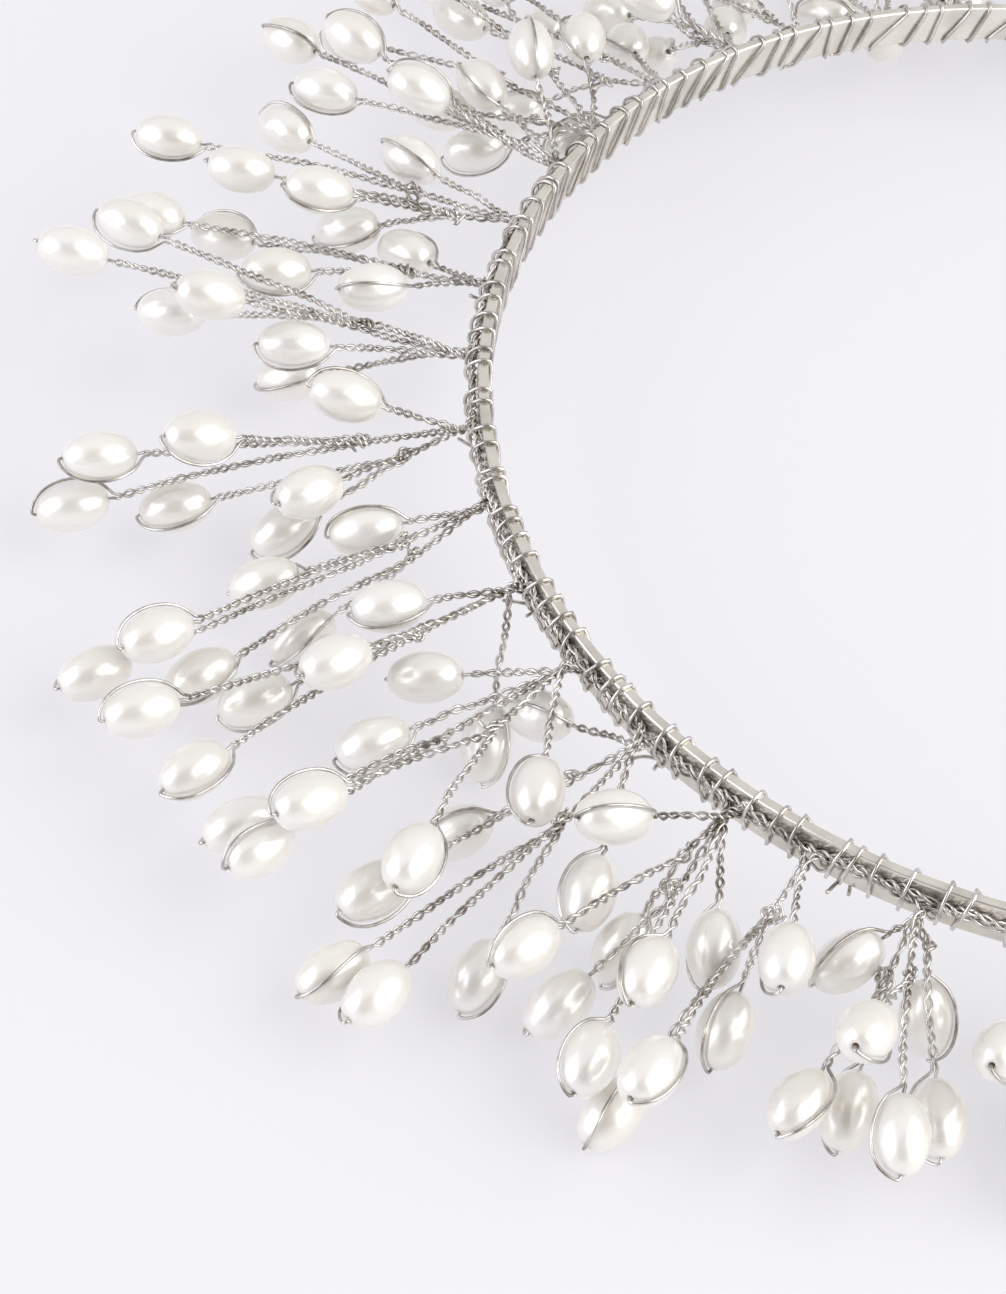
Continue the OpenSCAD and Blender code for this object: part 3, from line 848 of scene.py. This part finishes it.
            # the twist is tightest in the middle of the garland and loosest at its ends
            from_middle = abs(number - len(SPRAYS) // 2)
            spray_twist = in_mm(wire.twist) * (MIDDLE_TWIST + TWIST_GROWTH * from_middle)
            for row in spray.rows:
                carried = 1 if len(spray.ends(row[0])) < 4 else 2
                place = placed[row[0]] = placed.get(row[0], -1) + 1
                path, middle, axis, side = self.stem_path(spray, row, place, carried, chance)
                twist = spray_twist * chance.uniform(0.9, 1.15)
                first, second = twisted_pair(path, side, radius, twist, chance)
                lean = math.radians(chance.uniform(-LOOP_LEAN, LOOP_LEAN))
                slack = chance.random()
                through = self.loop_points(THROUGH, middle, axis, side, lean, slack)
                around = self.loop_points(ROUND, middle, axis, side, lean, slack)
                bend = smooth_path([first[-1]] + through + around + [second[-1]], LOOP_STEP)
                parts.append(wire_tube(np.vstack((first[:-1], bend, second[::-1][1:])), radius))
            for bundle in sorted(set(row[0] for row in spray.rows) - {0}):
                finish = chance.random()
                if finish < EYELET_SHARE:
                    parts.append(self.eyelet(spray, bundle, radius, chance))
                elif finish > 1 - CUT_END_SHARE:
                    parts.append(self.cut_end(spray, bundle, radius, chance))
            parts.append(self.hook_on_face(spray, radius, chance))
            name = f"spray_{number + 1:02d}_wires"
            build_mesh(name, parts, material, [f"spray_{number + 1:02d}_stems"])
        return {"FINISHED"}


class PEARLCROWN_OT_pearls(CrownOperator, bpy.types.Operator):
    """Makes the drilled oval pearls, each a little uneven"""

    bl_idname = "pearl_crown.pearls"
    bl_label = "Pearls"

    def profile(self, settings):
        """Half outline from one end of the hole over the outside to the other end and back inside."""
        half_l, half_d = in_mm(settings.length) / 2, in_mm(settings.diameter) / 2
        end_r, hole_r = in_mm(settings.end_radius), in_mm(settings.hole) / 2
        end_c = half_l - end_r
        side_r = (end_c ** 2 + half_d ** 2 - end_r ** 2) / (2 * half_d - 2 * end_r)
        meet = end_c * side_r / (side_r - end_r)
        mouth = math.asin(min(1.0, (hole_r + 0.12) / end_r))
        join = math.acos((meet - end_c) / end_r)
        end = [(end_c + end_r * math.cos(a), end_r * math.sin(a)) for a in np.linspace(mouth, join, 6)]
        side = [(x, math.sqrt(side_r ** 2 - x * x) - side_r + half_d) for x in np.linspace(meet, 0, 7)[1:]]
        lip_x = end[0][0]
        lip = [(lip_x - 1.2, hole_r - 0.03), (lip_x - 0.25, hole_r - 0.02), (lip_x - 0.08, hole_r + 0.03)]
        right = lip + end + side
        left = [(-x, r) for x, r in right[-2::-1]]
        return right + left

    def execute(self, context):
        settings = context.scene.pearl_crown_pearls
        outline = self.profile(settings)
        material = lacquered_pearl(settings.colour)
        around = 36
        angles = np.arange(around) * 2 * math.pi / around
        rings = len(outline)
        faces = []
        for r in range(rings):
            q = (r + 1) % rings
            for j in range(around):
                k = (j + 1) % around
                faces.append((r * around + j, q * around + j, q * around + k, r * around + k))
        for number in range(len(SPRAYS)):
            chance = random.Random(500 + number)
            spray = Spray(number)
            parts = []
            for row in spray.rows:
                middle, axis, side = spray.pearl_axes(row)
                third = np.cross(axis, side)
                waves = [
                    (chance.randint(1, 3), chance.uniform(0, 6.3), chance.uniform(0.002, 0.008))
                    for _ in range(3)
                ]
                size = chance.uniform(*PEARL_SIZES)
                points = []
                for x, r in outline:
                    uneven = np.ones(around)
                    for times, phase, depth in waves:
                        uneven += depth * np.cos(times * angles + phase + 0.35 * x)
                    reach = (r * size * uneven)[:, None]
                    points.append(
                        middle + size * x * axis
                        + reach * (np.cos(angles)[:, None] * side + np.sin(angles)[:, None] * third)
                    )
                parts.append((np.vstack(points), faces))
            name = f"spray_{number + 1:02d}_beads"
            build_mesh(name, parts, material, [f"spray_{number + 1:02d}_pearls"])
        return {"FINISHED"}


class PEARLCROWN_OT_stage(CrownOperator, bpy.types.Operator):
    """Sets up the pale floor, the soft lights and the camera"""

    bl_idname = "pearl_crown.stage"
    bl_label = "Studio"

    def soft_light(self, name, place, aim, size, power, colour):
        """Hangs a softbox of the given size at a place, turned to aim."""
        light = bpy.data.lights.new(name, "AREA")
        light.shape = "RECTANGLE"
        light.size, light.size_y = size
        light.energy = power
        light.color = linear(colour)[:3]
        lamp = bpy.data.objects.new(name, light)
        lamp.location = place
        lamp.rotation_mode = "QUATERNION"
        lamp.rotation_quaternion = (Vector(aim) - Vector(place)).to_track_quat("-Z", "Y")
        bpy.context.scene.collection.objects.link(lamp)

    def execute(self, context):
        settings = context.scene.pearl_crown_stage
        half = 3.0
        mesh = bpy.data.meshes.new("floor")
        corners = [(-half, -half, 0), (half, -half, 0), (half, half, 0), (-half, half, 0)]
        mesh.from_pydata(corners, [], [(0, 1, 2, 3)])
        mesh.materials.append(opal_panel(settings.floor, settings.glow))
        floor = bpy.data.objects.new("floor", mesh)
        context.scene.collection.objects.link(floor)

        aim = (-0.03, -0.01, 0.01)
        self.soft_light("key_softbox", (0.64, -0.25, 0.56), aim, (1.0, 1.05), settings.key, "#FFFEFC")
        self.soft_light("fill_softbox", (-0.8, -0.3, 0.36), aim, (0.85, 0.8), settings.fill, "#F3F4FF")

        world = bpy.data.worlds.new("studio")
        world.use_nodes = True
        tree = world.node_tree
        tree.nodes.clear()
        place = add_node(tree, "ShaderNodeTexCoord").outputs["Generated"]
        height = add_node(tree, "ShaderNodeSeparateXYZ", inputs={"Vector": place}).outputs["Z"]
        walls = colour_steps(tree, height, ((0.0, linear("#EFEEF0")), (0.5, linear("#FFFFFF"))))
        # a grey card up in the front of the studio gives the pearls their grey middles
        facing = add_node(
            tree, "ShaderNodeVectorMath", {"operation": "DOT_PRODUCT"}, {0: place, 1: (0.0, -0.68, 0.73)}
        ).outputs["Value"]
        card = colour_steps(tree, facing, ((0.83, linear("#FFFFFF")), (0.93, linear("#897C74"))))
        sky = add_node(
            tree, "ShaderNodeVectorMath", {"operation": "MULTIPLY"}, {0: walls, 1: card}
        ).outputs["Vector"]
        glow = add_node(tree, "ShaderNodeBackground", inputs={"Color": sky, "Strength": 0.73})
        add_node(tree, "ShaderNodeOutputWorld", inputs={"Surface": glow.outputs[0]})
        context.scene.world = world
        context.scene.view_settings.view_transform = "Standard"

        # the camera stands 290 mm from the band, looks down at 47 degrees and is rolled by 7.2
        down, roll, distance = math.radians(47.0), math.radians(7.2), 290.0
        target = np.array((-33.96, -39.83, 14.42))
        ahead = np.array((0.0, math.cos(down), -math.sin(down)))
        level = np.array((1.0, 0.0, 0.0))
        over = np.cross(level, ahead)
        right = math.cos(roll) * level + math.sin(roll) * over
        upward = -math.sin(roll) * level + math.cos(roll) * over
        camera = bpy.data.objects.new("camera", bpy.data.cameras.new("camera"))
        camera.data.sensor_width = 36.0
        # focal length of 3343 pixels on an image 1294 pixels high
        camera.data.lens = 3343 * 36.0 / 1294
        camera.data.clip_start = 0.01
        place = (target - distance * ahead) * 0.001
        camera.matrix_world = Matrix((
            (right[0], upward[0], -ahead[0], place[0]),
            (right[1], upward[1], -ahead[1], place[1]),
            (right[2], upward[2], -ahead[2], place[2]),
            (0, 0, 0, 1),
        ))
        context.scene.collection.objects.link(camera)
        context.scene.camera = camera
        return {"FINISHED"}


class PEARLCROWN_PT_panel(bpy.types.Panel):
    """Sidebar panel with the steps in the order in which they run"""

    bl_idname = "PEARLCROWN_PT_panel"
    bl_label = "Pearl crown"
    bl_space_type = "VIEW_3D"
    bl_region_type = "UI"
    bl_category = "Pearl crown"

    def draw(self, context):
        for group in ("band", "wire", "pearls", "stage"):
            settings = getattr(context.scene, "pearl_crown_" + group)
            box = self.layout.box()
            for name in settings.__annotations__:
                box.prop(settings, name)
        for operator in OPERATORS:
            self.layout.operator(operator.bl_idname)


GROUPS = {
    "pearl_crown_band": PearlCrownBand,
    "pearl_crown_wire": PearlCrownWire,
    "pearl_crown_pearls": PearlCrownPearls,
    "pearl_crown_stage": PearlCrownStage,
}
OPERATORS = (
    PEARLCROWN_OT_band,
    PEARLCROWN_OT_binding,
    PEARLCROWN_OT_garland,
    PEARLCROWN_OT_stems,
    PEARLCROWN_OT_pearls,
    PEARLCROWN_OT_stage,
)


def register():
    for cls in (*GROUPS.values(), *OPERATORS, PEARLCROWN_PT_panel):
        bpy.utils.register_class(cls)
    for name, group in GROUPS.items():
        setattr(bpy.types.Scene, name, bpy.props.PointerProperty(type=group))


def unregister():
    for name in GROUPS:
        delattr(bpy.types.Scene, name)
    for cls in (PEARLCROWN_PT_panel, *OPERATORS, *reversed(GROUPS.values())):
        bpy.utils.unregister_class(cls)


def main():
    register()
    bpy.ops.pearl_crown.band()
    bpy.ops.pearl_crown.binding()
    bpy.ops.pearl_crown.garland()
    bpy.ops.pearl_crown.stems()
    bpy.ops.pearl_crown.pearls()
    bpy.ops.pearl_crown.stage()


if __name__ == "__main__":
    main()
